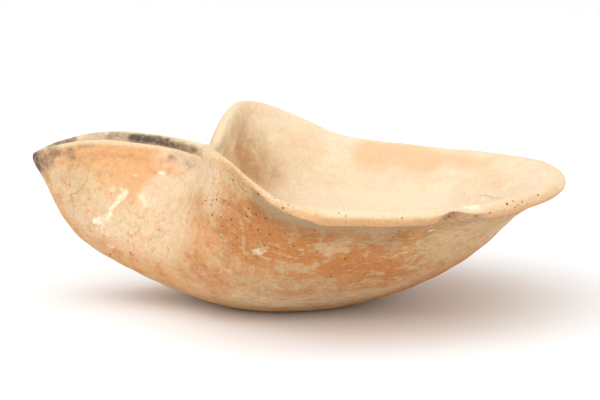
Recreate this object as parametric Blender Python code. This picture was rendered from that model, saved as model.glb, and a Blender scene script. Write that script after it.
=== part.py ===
"""Saucer lamp of fired earthenware: one bowl thrown on a wheel, its rim folded in to a wick spout.

Metres, +Z up. The lamp stands on z = 0, the middle of its flat foot is the origin, and the spout
points along -X. The bowl is thrown first, as a turned section with a floor, a wall and a rounded
lip. Then its rim is folded as a potter pinches it: each point keeps its place up the wall and its
depth in the clay, while the wall is drawn after the rim.
"""

import math
from functools import lru_cache

import bmesh
import bpy
from mathutils import Vector

MM = 0.001

# The bowl as thrown, measured to the middle of the wall
FOOT_RADIUS = 15.5 * MM
NECK_RADIUS = 61.5 * MM
NECK_HEIGHT = 25.9 * MM
NECK_SLOPE = math.radians(51)
FLANGE_REACH = 14.5 * MM
FLANGE_RISE = 8.7 * MM
RIM_SLOPE = math.radians(26)

# How full its curves are, as shares of the chord of each: leaving the foot, reaching the neck and
# both ends of the flange
FOOT_HANDLE = 0.225
NECK_HANDLE = 0.37
FLANGE_HANDLE = 0.33

# Where the foot and the neck come, as shares of the way up the wall from the axis to the rim
FOOT_SHARE = 0.18
NECK_SHARE = 0.82

# Thickness of the clay, in the floor, up to the wall, from the wall to the lip, and in the lip
# where it closes round the nozzle
FLOOR = 6.5 * MM
WALL = 5.0 * MM
LIP = 4.6 * MM
NOZZLE_LIP = 3.8 * MM
WALL_FROM = 0.5
LIP_FROM = 0.7
NOZZLE_FROM = 160
NOZZLE_FULL = 178

# The folded rim, measured to the middle of the lip. Turns are in degrees from the back of the lamp
SIDE_REACH = 64.0 * MM
FLAP_AHEAD = 16.6 * MM
FLAP_SPREAD = 44.0 * MM
FLAP_HEIGHT = 48.7 * MM
PINCH_AHEAD = 21.6 * MM
PINCH_HEIGHT = 40.1 * MM
PINCH_GAP = 14.2 * MM
CREST_AHEAD = 47.0 * MM
CREST_HEIGHT = 44.1 * MM
CHANNEL_GAP = 11.7 * MM
TIP_AHEAD = 68.6 * MM
TIP_HEIGHT = 39.0 * MM
FLAP_TURN = 118
PINCH_TURN = 146
CREST_TURN = 161
TIP_TURN = 180

# One flap was folded a little lower and less far forward than the other
FLAP_DROP = 1.7 * MM
FLAP_DRAG = 2.5 * MM
LOPSIDED_TURN = 130
LOPSIDED_REACH = 42

# How the fold fades down the wall, as powers for its moves along X, Y and Z: a power of 1 carries
# the move evenly down to the foot, and a high one keeps it near the rim
BACK_FADE = (1.0, 1.0, 3.0)
PINCH_FADE = (2.1, 2.6, 5.0)
TIP_FADE = (6.0, 2.0, 6.0)
FADE_FROM = 60

# The fold is sharp at the rim and slack lower down, where it is spread over this turn to each side
FOLD_SPREAD = math.radians(32)
SPREAD_REACH = 34
SHARP_FROM = 0.55
SPREAD_SAMPLES = 11

# The belly of the spout swells out and down under its folded walls
SPOUT_SWELL = 2.8 * MM
SWELL_SAG = 0.6
SWELL_REACH = 60
SWELL_PLACE = 0.78
SWELL_SPAN = 0.28

# The very tip of the spout is drawn out in a small pout
POUT = 1.5 * MM
POUT_REACH = 17
POUT_FROM = 0.91

# A chip out of the lip on the lower flap's side
CHIP_TURN = math.radians(-51)
CHIP_LENGTH = 11.0 * MM
CHIP_DEPTH = 2.4 * MM
CHIP_FROM = 0.9

# Rows and steps of the faceted surface, and the short step that finds its slopes
TURN_STEPS = 144
BODY_ROWS = 8
FLANGE_ROWS = 4
LIP_ROWS = 4
NEAR_BY = 0.002

CLAY_COLOUR = (0.70, 0.44, 0.25, 1.0)
CLAY_ROUGHNESS = 0.9

RIM_RADIUS = NECK_RADIUS + FLANGE_REACH
RIM_HEIGHT = NECK_HEIGHT + FLANGE_RISE


def mix(start, end, share):
    """A value between two others."""
    return start + (end - start) * share


def between(start, end, shares):
    """A point between two others, with a share of its own for each axis."""
    return Vector([mix(*pair) for pair in zip(start, end, shares)])


def ease(start, end, value):
    """A smooth step, 0 up to start and 1 from end."""
    t = min(max((value - start) / (end - start), 0.0), 1.0)
    return t * t * (3 - 2 * t)


def bump(middle, reach, value):
    """A smooth hump, 1 at its middle and 0 beyond its reach."""
    return 1.0 - ease(0.0, reach, abs(value - middle))


def bezier(points, t):
    """A point on the cubic curve through four control points."""
    a, b, c, d = points
    u = 1.0 - t
    return a * u**3 + b * 3 * t * u**2 + c * 3 * t**2 * u + d * t**3


def turned(radius, height, angle):
    """A point at a radius and a height, turned about the axis of the wheel."""
    return Vector((radius * math.cos(angle), radius * math.sin(angle), height))


def curve_through(rows, angle):
    """Values at an angle on the smooth curve through rows of (angle, values), past both end rows."""
    first = max(k for k in range(1, len(rows) - 2) if k == 1 or rows[k][0] <= angle)
    knots = [rows[first + k][0] for k in (-1, 0, 1, 2)]
    before, start, end, after = (Vector(rows[first + k][1]) for k in (-1, 0, 1, 2))
    gap_in, span, gap_out = (knots[k + 1] - knots[k] for k in range(3))
    rise = (end - start) / span
    leave = ((start - before) / gap_in * span + rise * gap_in) / (span + gap_in)
    arrive = (rise * gap_out + (after - end) / gap_out * span) / (span + gap_out)
    t = (angle - knots[1]) / span
    third = span / 3
    return bezier((start, start + leave * third, end - arrive * third, end), t)


def both_ways(rows):
    """Rows for half a turn, with their mirrored neighbours before the first and after the last."""
    across = Vector((1, -1, 1))
    first, last = rows[1], rows[-2]
    lead = (2 * rows[0][0] - first[0], Vector(first[1]) * across)
    tail = (2 * rows[-1][0] - last[0], Vector(last[1]) * across)
    return [lead, *rows, tail]


def rim_rows():
    """The middle of the lip round half the folded rim, from the back (0) to the tip (180)."""
    back, side, rim = RIM_RADIUS, SIDE_REACH, RIM_HEIGHT
    flap = Vector((-FLAP_AHEAD, FLAP_SPREAD, FLAP_HEIGHT))
    pinch = Vector((-PINCH_AHEAD, (PINCH_GAP + LIP) / 2, PINCH_HEIGHT))
    crest = Vector((-CREST_AHEAD, (CHANNEL_GAP + LIP) / 2, CREST_HEIGHT))
    tip = Vector((-TIP_AHEAD, 0, TIP_HEIGHT))
    return both_ways([
        (0, (back, 0, rim)),
        (24, (0.92 * back, 0.43 * side, rim)),
        (46, (0.714 * back, 0.742 * side, mix(rim, flap.z, -0.05))),
        (68, (0.39 * back, 0.93 * side, mix(rim, flap.z, -0.03))),
        (88, (0.09 * back, side, mix(rim, flap.z, 0.16))),
        (100, (-0.04 * back, 0.93 * side, mix(rim, flap.z, 0.52))),
        (109, (0.59 * flap.x, mix(side, flap.y, 0.56), mix(rim, flap.z, 0.8))),
        (FLAP_TURN, flap),
        (mix(FLAP_TURN, PINCH_TURN, 0.32), between(flap, pinch, (0.48, 0.3, 0.04))),
        (mix(FLAP_TURN, PINCH_TURN, 0.61), between(flap, pinch, (0.76, 0.62, 0.35))),
        (mix(FLAP_TURN, PINCH_TURN, 0.82), between(flap, pinch, (0.9, 0.86, 0.74))),
        (PINCH_TURN, pinch),
        (mix(PINCH_TURN, CREST_TURN, 0.4), between(pinch, crest, (0.32, 1.3, 0.5))),
        (CREST_TURN, crest),
        (mix(CREST_TURN, TIP_TURN, 0.47), between(crest, tip, (0.55, 0.22, 0.22))),
        (mix(CREST_TURN, TIP_TURN, 0.79), between(crest, tip, (0.88, 0.55, 0.7))),
        (TIP_TURN, tip),
    ])


def fade_powers(turn):
    """The powers of the fade at a turn, which change smoothly from the back by the pinch to the tip."""
    to_pinch = ease(FADE_FROM, PINCH_TURN, turn)
    to_tip = ease(PINCH_TURN, TIP_TURN, turn)
    rows = zip(BACK_FADE, PINCH_FADE, TIP_FADE)
    return [mix(mix(back, pinch, to_pinch), tip, to_tip) for back, pinch, tip in rows]


@lru_cache(maxsize=None)
def rim_move(angle):
    """How far the rim moves at an angle from where it was thrown."""
    angle = math.remainder(angle, 2 * math.pi)
    turn = abs(math.degrees(angle))
    side = math.copysign(1.0, angle)
    rim = curve_through(RIM_ROWS, turn)
    if side < 0:
        rim += Vector((FLAP_DRAG, 0, -FLAP_DROP)) * bump(LOPSIDED_TURN, LOPSIDED_REACH, turn)
    rim.y *= side
    return rim - turned(RIM_RADIUS, RIM_HEIGHT, angle)


@lru_cache(maxsize=None)
def wall_move(angle, place):
    """How far the wall moves at a place up it, less and in a slacker fold the lower it is."""
    turn = abs(math.degrees(angle))
    spread = FOLD_SPREAD * (1 - ease(SHARP_FROM, 1.0, place)) * bump(PINCH_TURN, SPREAD_REACH, turn)
    move = Vector((0, 0, 0))
    total = 0.0
    for k in range(SPREAD_SAMPLES):
        share = (2 * k + 1) / SPREAD_SAMPLES - 1
        weight = bump(0, 1, share)
        move += rim_move(angle + spread * share) * weight
        total += weight
    move /= total
    height = max(place - FOOT_SHARE, 0.0) / (1 - FOOT_SHARE)
    return Vector([part * height**power for part, power in zip(move, fade_powers(turn))])


@lru_cache(maxsize=None)
def wall_point(place):
    """Radius and height of the thrown wall at a place along it, 0 on the axis and 1 at the rim."""
    foot = Vector((FOOT_RADIUS, FLOOR / 2))
    neck = Vector((NECK_RADIUS, NECK_HEIGHT))
    rim = Vector((RIM_RADIUS, RIM_HEIGHT))
    neck_way = Vector((math.cos(NECK_SLOPE), math.sin(NECK_SLOPE)))
    rim_way = Vector((math.cos(RIM_SLOPE), math.sin(RIM_SLOPE)))
    if place <= FOOT_SHARE:
        return Vector((FOOT_RADIUS * place / FOOT_SHARE, FLOOR / 2))
    if place <= NECK_SHARE:
        chord = (neck - foot).length
        handles = foot + Vector((FOOT_HANDLE * chord, 0)), neck - neck_way * NECK_HANDLE * chord
        return bezier((foot, *handles, neck), (place - FOOT_SHARE) / (NECK_SHARE - FOOT_SHARE))
    bend = FLANGE_HANDLE * (rim - neck).length
    handles = neck + neck_way * bend, rim - rim_way * bend
    return bezier((neck, *handles, rim), (place - NECK_SHARE) / (1 - NECK_SHARE))


def thickness(angle, place):
    """Thickness of the clay, thick in the floor and thin at the lip, thinnest round the nozzle."""
    lip = mix(LIP, NOZZLE_LIP, ease(NOZZLE_FROM, NOZZLE_FULL, abs(math.degrees(angle))))
    wall = mix(FLOOR, WALL, ease(FOOT_SHARE, WALL_FROM, place))
    return mix(wall, lip, ease(LIP_FROM, 1.0, place))


def mid_wall(angle, place):
    """A point in the middle of the folded wall."""
    radius, height = wall_point(place)
    swell = SPOUT_SWELL * bump(TIP_TURN, SWELL_REACH, abs(math.degrees(angle)))
    swell *= bump(SWELL_PLACE, SWELL_SPAN, place)
    pout = POUT * bump(TIP_TURN, POUT_REACH, abs(math.degrees(angle))) * ease(POUT_FROM, 1.0, place)
    thrown = turned(radius + swell + pout, height - swell * SWELL_SAG, angle)
    return thrown + wall_move(angle, place)


def clay_point(angle, place, round_lip):
    """A point on the lamp's surface. round_lip is 0 on the outside and pi on the inside."""
    middle = mid_wall(angle, place)
    inward = Vector((0, 0, 1))
    over = Vector((0, 0, 0))
    if place > FOOT_SHARE:
        along = mid_wall(angle + NEAR_BY, place) - mid_wall(angle - NEAR_BY, place)
        up = mid_wall(angle, place + NEAR_BY) - mid_wall(angle, place - NEAR_BY)
        inward = up.cross(along).normalized()
        over = along.cross(inward).normalized()
    half = thickness(angle, place) / 2
    point = middle - inward * half * math.cos(round_lip) + over * half * math.sin(round_lip)
    chipped = bump(CHIP_TURN, CHIP_LENGTH / RIM_RADIUS / 2, angle) * ease(CHIP_FROM, 1.0, place)
    return point + (inward - over) * CHIP_DEPTH * chipped * (1 + math.cos(round_lip)) / 2


def section():
    """The rows of the turned section, from under the foot over the lip to the floor."""
    body = [mix(FOOT_SHARE, NECK_SHARE, k / BODY_ROWS) for k in range(BODY_ROWS)]
    flange = [mix(NECK_SHARE, 1.0, k / FLANGE_ROWS) for k in range(FLANGE_ROWS + 1)]
    wall = [0.0, *body, *flange]
    lip = [(1.0, math.pi * k / (LIP_ROWS + 1)) for k in range(1, LIP_ROWS + 1)]
    return [(place, 0.0) for place in wall] + lip + [(place, math.pi) for place in reversed(wall)]


def throw_bowl(bm):
    """Spin the section into a bowl whose points know their place along the wall and round the lip."""
    place_layer = bm.verts.layers.float.new("place")
    lip_layer = bm.verts.layers.float.new("round_lip")
    row = []
    for place, round_lip in section():
        radius, height = wall_point(place)
        half = thickness(0.0, place) / 2
        radius += half * math.sin(round_lip)
        height -= half * math.cos(round_lip)
        vert = bm.verts.new(turned(radius, height, 0.0))
        vert[place_layer] = place
        vert[lip_layer] = round_lip
        row.append(vert)
    edges = [bm.edges.new(pair) for pair in zip(row, row[1:])]
    bmesh.ops.spin(
        bm, geom=row + edges, cent=(0, 0, 0), axis=(0, 0, 1), dvec=(0, 0, 0),
        angle=2 * math.pi, steps=TURN_STEPS, use_merge=True,
    )
    bmesh.ops.remove_doubles(bm, verts=bm.verts, dist=0.001 * MM)
    bmesh.ops.recalc_face_normals(bm, faces=bm.faces)


def fold_rim(bm):
    """Move every point of the thrown bowl to its place on the folded lamp."""
    place_layer = bm.verts.layers.float["place"]
    lip_layer = bm.verts.layers.float["round_lip"]
    for vert in bm.verts:
        angle = math.atan2(vert.co.y, vert.co.x)
        vert.co = clay_point(angle, vert[place_layer], vert[lip_layer])


def clay():
    """Plain fired earthenware."""
    material = bpy.data.materials.new("fired_clay")
    material.use_nodes = True
    shader = material.node_tree.nodes["Principled BSDF"]
    shader.inputs["Base Color"].default_value = CLAY_COLOUR
    shader.inputs["Roughness"].default_value = CLAY_ROUGHNESS
    shader.inputs["Metallic"].default_value = 0.0
    return material


def lamp():
    """The whole lamp, one piece of clay."""
    bm = bmesh.new()
    throw_bowl(bm)
    fold_rim(bm)
    mesh = bpy.data.meshes.new("lamp_bowl")
    bm.to_mesh(mesh)
    bm.free()
    mesh.shade_smooth()
    mesh.materials.append(clay())
    part = bpy.data.objects.new("lamp_bowl", mesh)
    bpy.context.collection.objects.link(part)
    return part


def main():
    for old in list(bpy.data.objects):
        bpy.data.objects.remove(old)
    lamp()


RIM_ROWS = rim_rows()

main()
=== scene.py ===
"""A pottery oil lamp of antiquity: a shallow bowl thrown on a wheel, its rim folded in by hand for the wick.

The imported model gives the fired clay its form. This add-on dresses it. An even copy of the bowl takes the
hand's unevenness, the wheel's rings, the groove under the lip and the rough break in the rim as real relief.
One clay material takes the colours of the kiln, the wiped slip, the pits, the chalky crust and the soot.
Lengths are in metres unless a comment says millimetres. The spout points to -X, and the camera looks
nearly along +Y.
"""

import math
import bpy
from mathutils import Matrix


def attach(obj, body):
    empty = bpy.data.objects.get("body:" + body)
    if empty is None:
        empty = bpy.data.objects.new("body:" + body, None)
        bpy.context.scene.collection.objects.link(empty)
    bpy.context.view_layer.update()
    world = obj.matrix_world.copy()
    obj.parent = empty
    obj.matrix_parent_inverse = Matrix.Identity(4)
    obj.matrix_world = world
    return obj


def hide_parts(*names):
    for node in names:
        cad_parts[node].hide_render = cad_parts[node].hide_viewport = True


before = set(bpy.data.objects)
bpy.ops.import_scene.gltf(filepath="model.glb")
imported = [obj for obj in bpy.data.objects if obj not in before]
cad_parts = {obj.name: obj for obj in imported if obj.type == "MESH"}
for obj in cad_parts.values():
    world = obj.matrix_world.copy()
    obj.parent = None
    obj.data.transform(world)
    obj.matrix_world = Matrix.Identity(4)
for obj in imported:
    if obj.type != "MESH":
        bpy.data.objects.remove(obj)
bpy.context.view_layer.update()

from types import SimpleNamespace
from typing import NamedTuple

import bpy
import numpy as np
from bpy.props import FloatProperty, FloatVectorProperty, PointerProperty
from bpy.types import Operator, Panel, PropertyGroup
from mathutils import Vector, noise
from mathutils.bvhtree import BVHTree
from mathutils.interpolate import poly_3d_calc
from mathutils.kdtree import KDTree

bl_info = {
    "name": "Pottery oil lamp",
    "version": (1, 0, 0),
    "blender": (4, 5, 0),
    "location": "View3D > Sidebar > Oil lamp",
    "description": "Dresses a thrown and pinched pottery oil lamp in its fired clay, soot and wear",
    "category": "Object",
}

MM = 0.001
CAD_NODE = "lamp_bowl"

# The picture that the camera matches: its size in pixels, and the lens and its sensor in millimetres
PICTURE = (600, 400)
LENS = 150.8
SENSOR = 36.0
CLIP_START = 10 * MM

# Places along the spout's axis: where the flaps fold, and where a change over the lamp starts and is complete
FOLD_X = -20 * MM
WIPED_X = (-22 * MM, -10 * MM)
# The next range: where the painted shade under the lip starts and is complete
PAINTED_SHADE_X = (-6 * MM, 4 * MM)
SLIM_LIP_X = (-17 * MM, -5 * MM)
FULL_LIP_X = (22 * MM, -6 * MM)
TIP_X = (-60 * MM, -67 * MM)

# The lip is slimmer from the fold to the bowl's widest part, where its band and its groove move up so far
SLIM_BAND = 3.0 * MM
SLIM_GROOVE = 1.9 * MM

# Distances from the middle of the lip: where its lumps fade out, and the two edges of the groove under it
LIP_LUMPS = (9 * MM, 2 * MM)
GROOVE_TOP = (3.9 * MM, 4.9 * MM)
GROOVE_BOTTOM = (12 * MM, 6 * MM)

# The heights over which the relief starts, because the foot stays flat
FOOT_RISE = (0, 4 * MM)

# The folds that are smoothed: how far from FOLD_X, how high, how far from the lip, and in how many rounds
FOLD_REACH = (15 * MM, 8 * MM)
FOLD_RISE = (8 * MM, 14 * MM)
FOLD_BELOW_LIP = (2 * MM, 4.5 * MM)
FOLD_ROUNDS = 90

# The wheel's marks: the rings' wave from foot to lip in radians, that stretch in millimetres of the streaks'
# pattern, how much slower the streaks change along the wall than across it, and how much closer the fine
# streaks lie
RING_WAVE = 95
STREAK_ROWS = 72
STREAK_STRETCH = 0.2
FINE_CLOSER = (1.7, 1.7, 3.0)

# In millimetres from the middle of the lip: where its band ends, and where the painted shade below starts and
# fades
BAND_EDGE = (4.8, 4.2)
SHADE_EDGE = (4.1, 4.8)
SHADE_FADE = (13, 4)

# In millimetres: the spacing of the small pits, and a distance past the reach of any crack
PIT_SPACING = 1.1
PAST_CRACKS = 9.0

# How far one seed's noise lies from the next one's
SEED_STEP = (17.3, 31.1, 5.7)

# Tints that are multiplied over the clay's colours
# The first tint darkens the band under the lip as painted shadow
PAINTED_SHADOW_TINT = (0.78, 0.75, 0.71)
PINK_TINT = (1.0, 0.92, 0.88)
YELLOW_TINT = (0.97, 0.96, 0.82)
DARK_GRAIN = (0.7, 0.65, 0.6)
NO_TINT = (1.0, 1.0, 1.0)

FLOOR_RADIUS = 4.0
FLOOR_COLOUR = (0.9, 0.9, 0.9, 1.0)
AIR_COLOUR = (1, 1, 1, 1)
AIR_STRENGTH = 0.8
LIGHTS_AIM = (0, 0, 30 * MM)


class SoftLight(NamedTuple):
    """A square soft light: its name, its place, the length of its side, and its power in watts."""

    name: str
    place: tuple
    side: float
    watts: float


LIGHTS = (
    SoftLight("light_left", (-0.9, -0.9, 1.1), 1.8, 6.5),
    SoftLight("light_top", (-0.2, 0.0, 1.6), 2.6, 14),
    SoftLight("light_right", (1.1, -0.8, 0.7), 1.6, 4),
    SoftLight("light_front", (0.1, -1.1, 0.06), 0.8, 4),
)


class Mark(NamedTuple):
    """A mark on the clay: the line along which it lies, how far it reaches from that line in millimetres,
    how strong it is, and the wall on which it lies.

    Two numbers are a place in the picture, in pixels from its upper left corner. Three are a place on or
    beside the clay in millimetres, for the sides that the camera doesn't see.
    """

    spots: tuple
    reach: float
    strength: float
    wall: str = "outer"


# The marks are drawn one by one: in each list first those of the side that shows, then those of the hidden
# sides

# The wick's burn marks: at the tip, along the channel's lips and down its walls
SOOT = (
    Mark(((34, 157), (37, 163)), 3.3, 1.05, "both"),
    Mark(((37, 155), (46, 158), (54, 153)), 3.2, 0.46),
    Mark(((35, 154), (43, 151), (54, 147)), 1.6, 0.5, "both"),
    Mark(((42, 171), (47, 178)), 1.8, 0.4),
    Mark(((54, 155), (62, 151), (70, 149)), 1.4, 0.5),
    Mark(((71, 158), (73, 158)), 0.9, 0.5),
    Mark(((78, 146), (92, 145)), 1.1, 0.35),
    Mark(((171, 157), (173, 158)), 1.1, 0.5),
    Mark(((190, 161), (197, 165)), 1.8, 0.26),
    Mark(((50, 158), (60, 154), (72, 156)), 2.2, 0.26),
    Mark(((41, 150), (50, 145), (58, 142)), 1.6, 0.45, "both"),
    Mark(((58, 142), (72, 138)), 1.5, 0.75, "both"),
    Mark(((86, 135), (120, 133), (160, 136), (196, 148)), 1.0, 0.36, "both"),
    Mark(((126, 134), (146, 135.5), (166, 138.5), (186, 143)), 1.3, 0.4, "both"),
    Mark(((110, 134), (122, 134)), 1.1, 0.5, "both"),
    Mark(((132, 136), (147, 138), (160, 140), (175, 145)), 1.3, 1.0, "both"),
    Mark(((172, 143), (184, 147), (193, 150)), 1.7, 0.6, "both"),
    Mark(((112, 134), (160, 138), (204, 153)), 3.2, 0.3, "inner"),
    Mark(((172, 141), (186, 146), (200, 151)), 1.6, 0.45, "both"),
    Mark(((-71, 0, 39), (-68, 3, 36)), 3.0, 0.9, "both"),
    Mark(((-66, -2, 34), (-58, -5, 32), (-46, -6, 30)), 5.0, 0.62, "inner"),
    Mark(((-66, 2, 34), (-58, 5, 32), (-46, 6, 30)), 5.0, 0.62, "inner"),
    Mark(((-60, 0, 24), (-50, 0, 18), (-38, 0, 14)), 4.5, 0.5, "inner"),
    Mark(((-64, -4, 38), (-50, -6, 40), (-34, -6, 38)), 3.0, 0.6, "inner"),
    Mark(((-67, 5, 42), (-60, 9, 45), (-50, 12, 47)), 2.6, 0.45, "both"),
)
# Where the kiln's fire turned the clay orange
FIRE = (
    Mark(((62, 152), (100, 149), (140, 152), (166, 158)), 4.5, 0.4),
    Mark(((112, 168), (136, 180), (152, 172)), 6.0, 0.25),
    Mark(((238, 222), (262, 240), (300, 250), (360, 256), (412, 252)), 12.0, 1.0),
    Mark(((234, 208), (252, 216)), 6.5, 1.0),
    Mark(((238, 187), (248, 195), (260, 203)), 2.6, 0.9),
    Mark(((202, 220), (214, 245)), 6.0, 0.25),
    Mark(((185, 262), (230, 275), (300, 285), (390, 280)), 7.0, 0.5),
    Mark(((108, 250), (140, 268), (170, 280)), 4.0, 0.4),
    Mark(((-40, 18, 34), (-56, 10, 36)), 8.0, 0.6),
    Mark(((-26, 34, 26), (-6, 46, 22)), 11.0, 0.9),
    Mark(((24, 50, 20), (44, 44, 22), (60, 24, 24)), 10.0, 0.7),
    Mark(((30, -20, 4), (52, -6, 12)), 10.0, 0.6),
    Mark(((-14, 18, -2), (8, 24, 0)), 9.0, 0.6),
)
# Where the clay and its slip stayed pale, which is taken off the fire. Two marks are painted light: the one
# near the bottom, and the one on the inner floor by the near lip
PALE_AND_PAINTED_LIGHT = (
    Mark(((100, 205), (140, 222), (178, 232)), 9.0, 0.9),
    Mark(((150, 196), (170, 186), (190, 182), (200, 172)), 4.5, 1.4),
    Mark(((150, 202), (185, 215)), 6.0, 0.6),
    Mark(((55, 172), (72, 192), (85, 208)), 7.0, 0.6),
    Mark(((210, 148), (212, 172), (210, 196)), 4.5, 1.3),
    Mark(((168, 156), (186, 162), (197, 174)), 4.0, 1.3),
    Mark(((455, 236), (500, 218)), 8.0, 0.7),
    Mark(((222, 182), (230, 196), (226, 206)), 4.0, 0.55),
    # Painted light: paler near the bottom, a pool where the floor's bounce falls
    Mark(((250, 300), (320, 302), (392, 290)), 5.0, 0.85),
    Mark(((232, 108), (250, 104), (275, 120)), 8.0, 1.0, "inner"),
    # Painted light: paler inner floor by the near lip, against the shade deep in the bowl
    Mark(((300, 196), (360, 203), (430, 200)), 6.0, 0.9, "inner"),
    Mark(((-52, 14, 26), (-36, 22, 18)), 8.0, 0.9),
    Mark(((2, 54, 28), (18, 56, 28)), 6.0, 0.7),
    Mark(((66, 6, 28), (60, -16, 24)), 7.0, 0.8),
)
# Where the thin wash that wiping left lies thickest. The last mark of the side that shows is painted light, a
# pale pool near the bottom
WASH_AND_PAINTED_LIGHT = (
    Mark(((226, 176), (246, 192)), 3.0, 0.6),
    Mark(((262, 202), (290, 218), (325, 228)), 3.0, 0.6),
    Mark(((350, 228), (400, 230), (440, 226)), 4.0, 0.45),
    Mark(((245, 284), (300, 288), (320, 290)), 5.0, 0.7),
    Mark(((332, 250), (345, 242)), 3.5, 0.9),
    Mark(((372, 240), (400, 250), (425, 246)), 4.5, 0.6),
    Mark(((284, 267), (310, 272)), 2.5, 0.8),
    Mark(((430, 250), (470, 236), (500, 222)), 9.0, 0.8),
    # Painted light: paler near the bottom, a pool where the floor's bounce falls
    Mark(((320, 300), (400, 292)), 6.0, 0.4),
    Mark(((88, 236), (112, 252)), 4.0, 0.5),
    Mark(((60, 170), (74, 186), (90, 205)), 7.0, 0.65),
    Mark(((84, 172), (100, 180), (104, 196)), 5.0, 0.55),
    Mark(((120, 225), (150, 235)), 6.0, 0.35),
    Mark(((-24, 38, 16), (6, 50, 14), (34, 44, 14)), 5.0, 0.7),
    Mark(((-14, 52, 34), (8, 58, 30)), 4.0, 0.7),
    Mark(((54, 16, 14), (58, -12, 16)), 6.0, 0.7),
    Mark(((-16, -4, -2), (12, 6, -2)), 9.0, 0.6),
)
# Painted shadow: the darker band under the lip
PAINTED_LIP_SHADOW = (
    Mark(((262, 208), (280, 220), (300, 228), (340, 235), (392, 238)), 5.0, 1.0),
    Mark(((-12, 48, 28), (16, 54, 24), (40, 46, 26)), 5.5, 0.8),
)
# Crust and chalky spots that the ground left
CHALK = (
    Mark(((119, 183), (121, 190)), 0.6, 0.6),
    Mark(((124, 193), (120, 198)), 1.4, 0.85),
    Mark(((119, 199), (115, 204), (110, 209)), 0.8, 0.95),
    Mark(((110, 209), (111, 213), (107, 217)), 0.7, 0.9),
    Mark(((101, 218), (106, 224), (104, 230)), 1.6, 0.66),
    Mark(((94, 221), (98, 222)), 0.9, 1.0),
    Mark(((110, 187), (115, 189)), 1.1, 0.75),
    Mark(((144, 197), (150, 202)), 1.8, 0.72),
    Mark(((158, 203), (176, 199)), 2.4, 0.4),
    Mark(((254, 252), (262, 252)), 1.2, 0.75),
    Mark(((160, 171), (163, 172)), 0.8, 0.9),
    Mark(((134, 175), (137, 176)), 0.6, 0.8),
    Mark(((110, 236), (128, 242)), 2.4, 0.4),
    Mark(((108, 246), (112, 248)), 0.9, 0.8),
    Mark(((465, 205), (476, 205)), 1.6, 0.9, "both"),
    Mark(((431, 232), (434, 232)), 0.8, 0.7),
    Mark(((-46, 18, 28), (-44, 20, 24), (-40, 20, 23)), 0.9, 0.6),
    Mark(((-39, 21, 20), (-35, 22, 19)), 1.6, 0.5),
    Mark(((-34, 24, 14), (-30, 27, 13)), 2.0, 0.5),
    Mark(((14, 48, 14), (22, 47, 15)), 1.4, 0.75),
    Mark(((50, 30, 20), (54, 27, 21)), 1.1, 0.7),
    Mark(((-8, 6, -2), (2, 10, -2), (5, 12, -2)), 1.6, 0.65),
)
# Painted shade: brown in the hollow inside the raised far flap
PAINTED_HOLLOW_SHADE = (
    Mark(((226, 150), (232, 158), (238, 166)), 3.5, 0.65, "inner"),
    Mark(((243, 140), (250, 158), (258, 176)), 9.0, 0.8, "inner"),
    Mark(((234, 133), (240, 143)), 3.5, 0.65, "inner"),
    Mark(((240, 148), (248, 166), (254, 176)), 4.5, 1.15, "inner"),
    Mark(((264, 160), (285, 176)), 8.0, 0.2, "inner"),
)
# Where rust, dust and dark specks show most
WEATHERED = (
    Mark(((84, 226), (100, 246), (140, 262)), 9.0, 1.2),
    Mark(((52, 168), (75, 195), (92, 218)), 8.0, 0.9),
    Mark(((190, 205), (205, 240)), 8.0, 0.8),
    Mark(((240, 235), (330, 250), (440, 240)), 14.0, 0.9),
    Mark(((430, 250), (460, 234), (495, 220)), 10.0, 1.2),
    Mark(((200, 270), (300, 292), (420, 278)), 9.0, 1.0),
    Mark(((226, 180), (250, 205)), 5.0, 0.8),
    Mark(((40, 158), (60, 168)), 5.0, 0.7),
    Mark(((-40, 20, 14), (-14, 40, 12), (20, 50, 12), (52, 24, 12)), 13.0, 1.0),
    Mark(((60, 0, 16), (48, -26, 14)), 10.0, 0.9),
    Mark(((-14, 0, -2), (14, 0, -2)), 14.0, 1.0),
)
# Grey smudges of smoke and dirt
SMUDGES = (
    Mark(((218, 149), (226, 142)), 2.6, 0.85, "both"),
    Mark(((176, 154), (188, 158), (195, 164)), 2.6, 0.6),
    Mark(((230, 122), (242, 114)), 3.5, 0.4, "both"),
    Mark(((236, 134), (250, 140)), 3.0, 0.5, "inner"),
    Mark(((168, 160), (198, 168)), 3.5, 0.4),
    Mark(((262, 206), (292, 221), (330, 231)), 2.4, 0.7),
    Mark(((236, 188), (250, 197), (262, 204)), 2.4, 0.3),
    Mark(((449, 215), (455, 213)), 1.3, 0.9),
    Mark(((461, 225), (466, 229)), 1.2, 0.5),
    Mark(((-60, 12, 34), (-42, 20, 36)), 3.5, 0.6),
    Mark(((34, 52, 30), (48, 44, 30)), 3.0, 0.5),
    Mark(((-6, 2, 4), (10, -6, 4), (20, -2, 5)), 9.0, 0.45, "inner"),
)
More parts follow.
